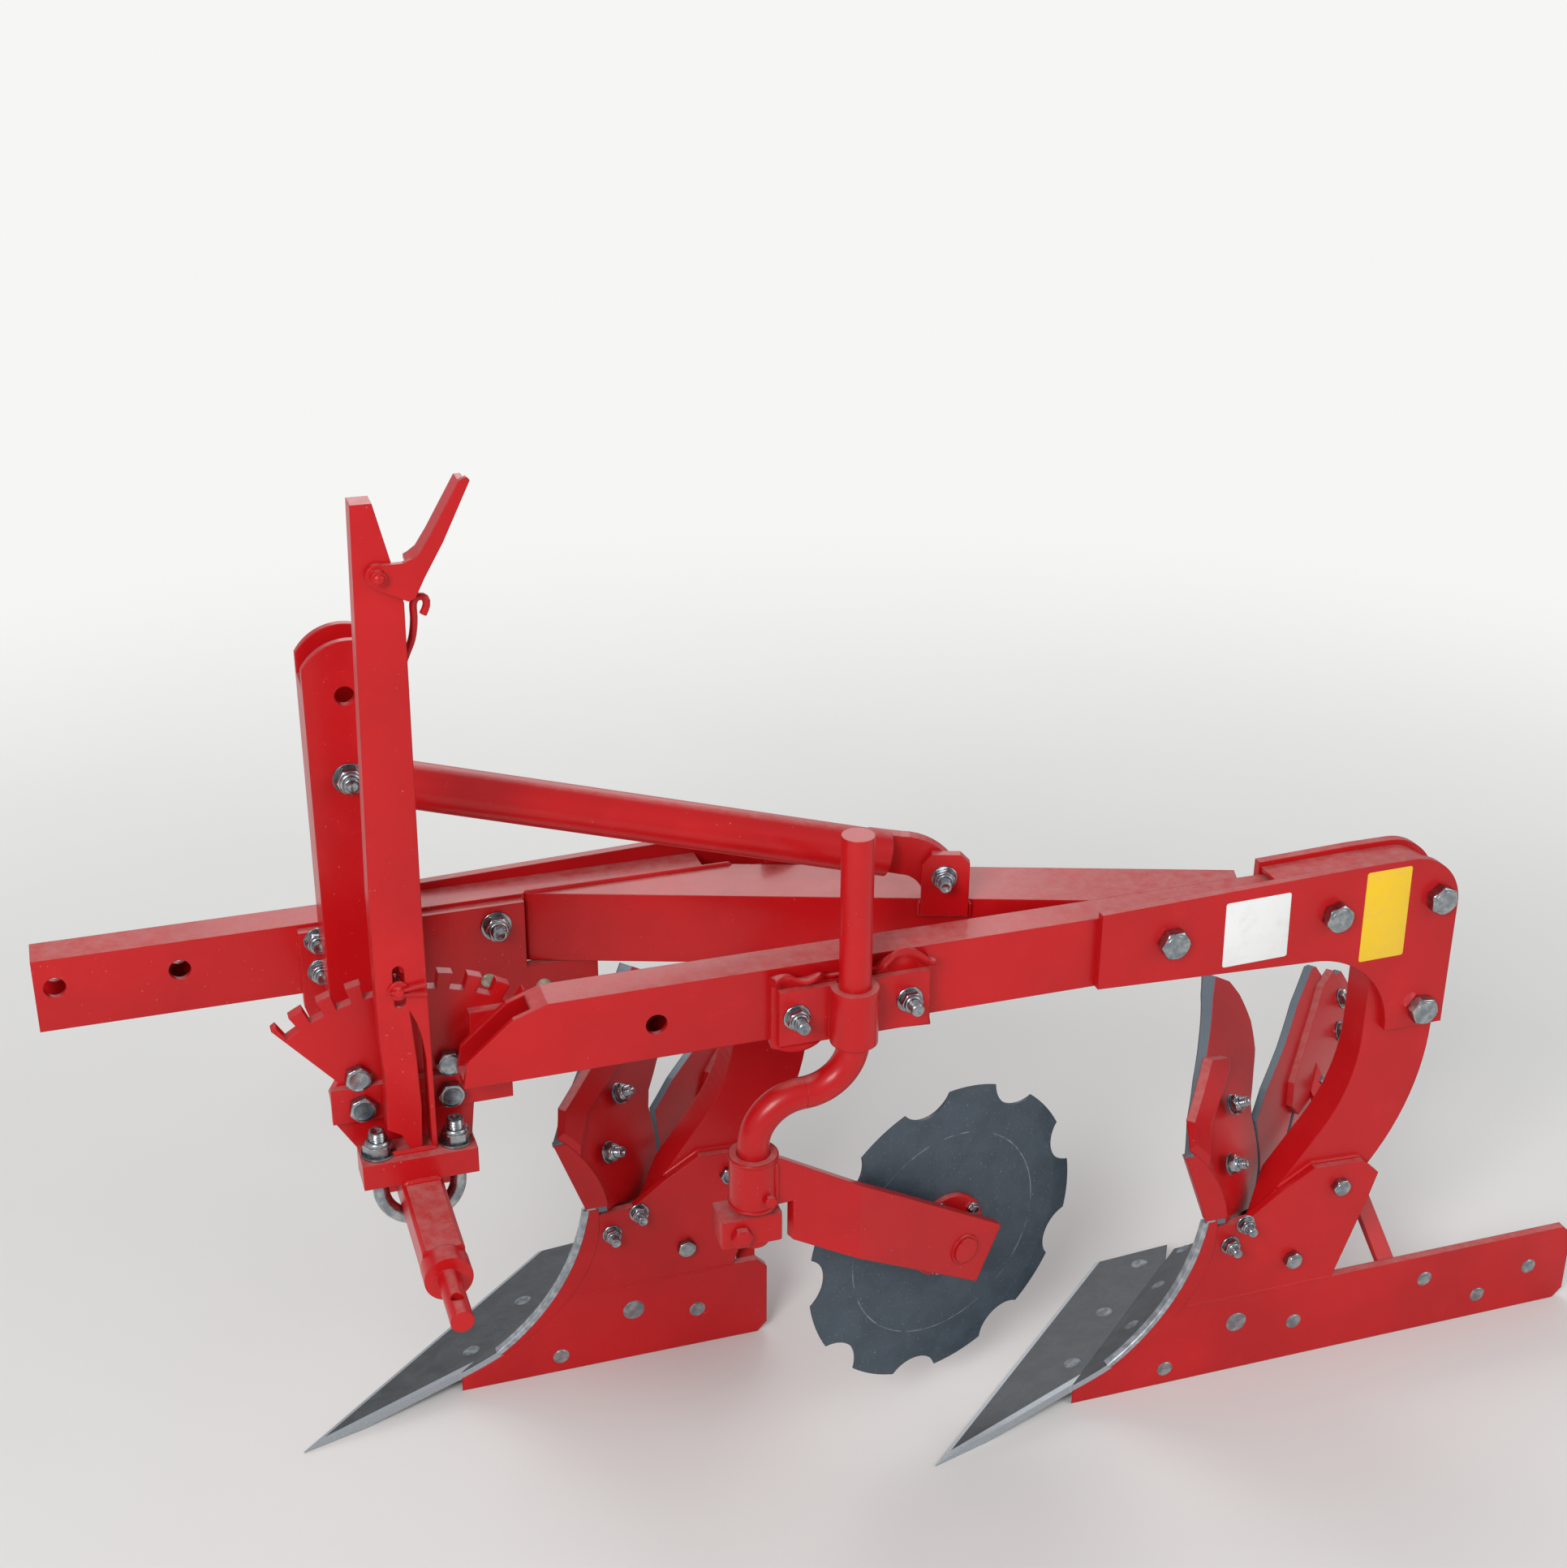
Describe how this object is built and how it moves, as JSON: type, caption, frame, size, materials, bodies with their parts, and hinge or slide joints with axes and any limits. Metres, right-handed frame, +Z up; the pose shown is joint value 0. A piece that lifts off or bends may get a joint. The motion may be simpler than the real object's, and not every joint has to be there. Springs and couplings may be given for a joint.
{
  "type": "moldboard plough",
  "caption": "Mounted moldboard plough with slatted boards, a notched disc coulter, a levelling lever on a toothed quadrant and a braced mast.",
  "frame": {"origin": "on the ground under the middle of the plough's box", "axes": "+X forward along the direction of travel, +Y to the left, +Z up"},
  "size_m": [1.716, 0.815, 1.156],
  "materials": {
    "red_paint": "glossy red enamel on steel",
    "share_steel": "dark coated wear steel with ground edges",
    "disc_steel": "blue-grey coated spring steel",
    "zinc_plate": "bright zinc plating of bolts and nuts",
    "label_white": "blank white label",
    "label_yellow": "blank yellow label"
  },
  "bodies": {
    "frame": {"right_beam": "red_paint", "left_beam": "red_paint", "diagonal_beam": "red_paint", "headstock_plate": "red_paint", "quadrant_plate": "red_paint", "cross_member": "red_paint", "mast": "red_paint", "strut": "red_paint", "strut_bracket": "red_paint", "front_leg_plates": "red_paint", "rear_leg_plates": "red_paint", "front_leg": "red_paint", "rear_leg": "red_paint", "front_frog": "red_paint", "rear_frog": "red_paint", "front_landside": "red_paint", "rear_landside": "red_paint", "front_share": "share_steel", "rear_share": "share_steel", "front_mouldboard": "share_steel", "rear_mouldboard": "share_steel", "front_slats": "red_paint", "rear_slats": "red_paint", "front_slat_bracket": "red_paint", "rear_slat_bracket": "red_paint", "front_stay": "red_paint", "rear_stay": "red_paint", "coulter_clamp": "red_paint", "clamp_backing": "red_paint", "coulter_stem": "red_paint", "coulter_foot": "red_paint", "coulter_collar": "red_paint"},
    "lever_body": {"cross_shaft": "red_paint", "lever_base": "red_paint", "lever": "red_paint", "latch": "red_paint"},
    "coulter_arm_body": {"coulter_arm": "red_paint"},
    "disc_body": {"disc": "disc_steel", "disc_hub": "red_paint"}
  },
  "joints": [
    {"name": "lever_turn", "type": "hinge", "parent": "frame", "child": "lever_body", "pos_m": [0.52, 0, 0.438], "axis": [0, 1, 0], "range_deg": [-7, 30]},
    {"name": "coulter_swivel", "type": "hinge", "parent": "frame", "child": "coulter_arm_body", "pos_m": [0.188, 0.221, 0.402], "axis": [0, 0, 1], "range_deg": [-21, 16]},
    {"name": "disc_spin", "type": "hinge", "parent": "coulter_arm_body", "child": "disc_body", "pos_m": [-0.05328, 0.15182, 0.235], "axis": [0.2756, -0.9613, 0], "continuous": true}
  ]
}
